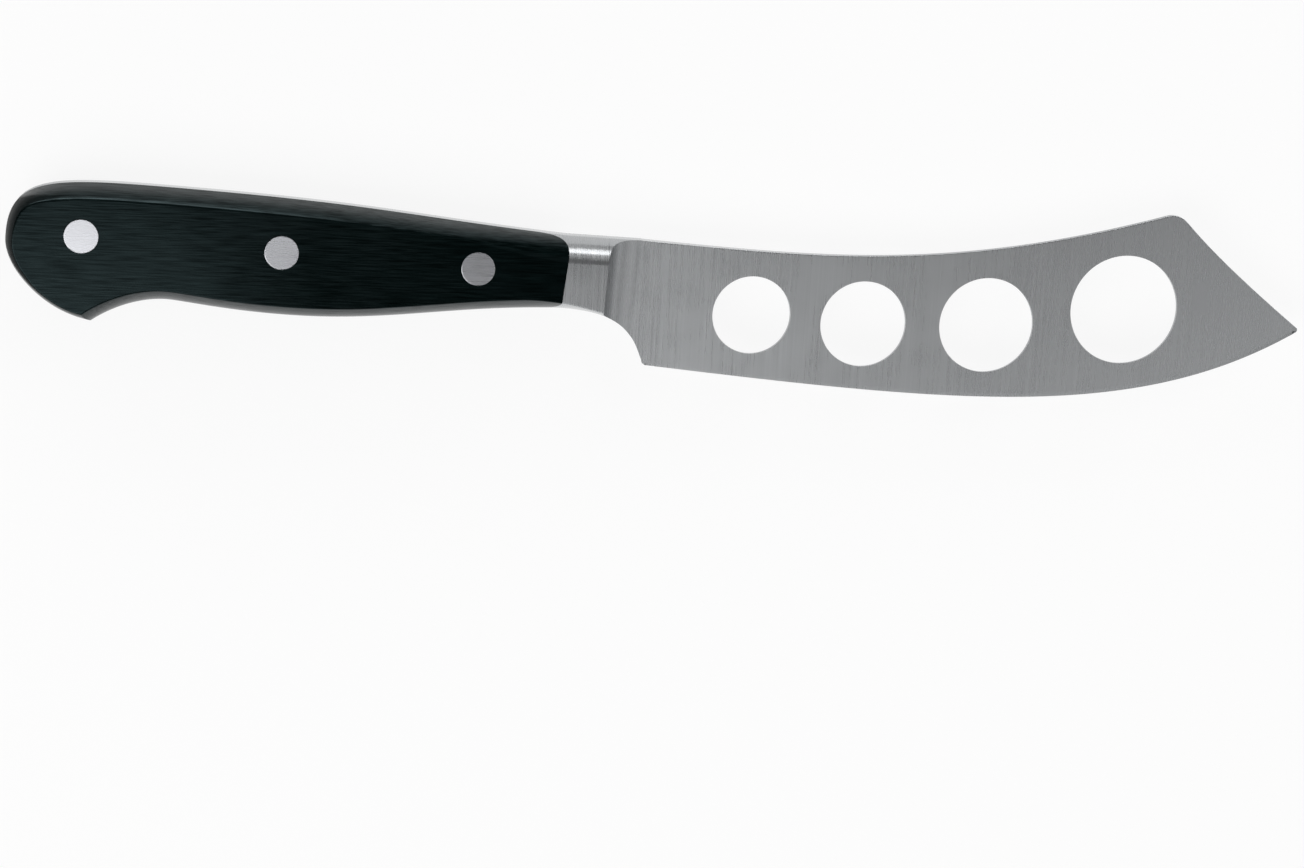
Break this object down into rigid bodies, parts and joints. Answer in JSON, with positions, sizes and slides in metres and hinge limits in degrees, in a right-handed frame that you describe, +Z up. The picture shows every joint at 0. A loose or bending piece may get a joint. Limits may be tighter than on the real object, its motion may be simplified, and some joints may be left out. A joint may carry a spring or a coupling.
{
  "type": "cheese knife",
  "caption": "Forged cheese knife with a broad upswept holed blade, bolster, full tang and riveted black grip scales.",
  "frame": {"origin": "middle of the knife's underside as it lies on its left scale, at the bottom centre of its box", "axes": "+X along the rivet line towards the tip, +Y towards the spine, +Z up, out of the right-hand side"},
  "size_m": [0.27, 0.0424, 0.015],
  "materials": {
    "blade_steel": "fine satin grain across the blade",
    "grip_black": "satin, with a fine lengthwise grain",
    "rivet_steel": "satin, ground flush with the grip"
  },
  "bodies": {
    "root": {"forged_blade": "blade_steel", "right_scale": "grip_black", "left_scale": "grip_black", "front_rivet_pin": "rivet_steel", "front_rivet_sleeve": "rivet_steel", "middle_rivet_pin": "rivet_steel", "middle_rivet_sleeve": "rivet_steel", "rear_rivet_pin": "rivet_steel", "rear_rivet_sleeve": "rivet_steel"}
  },
  "joints": []
}
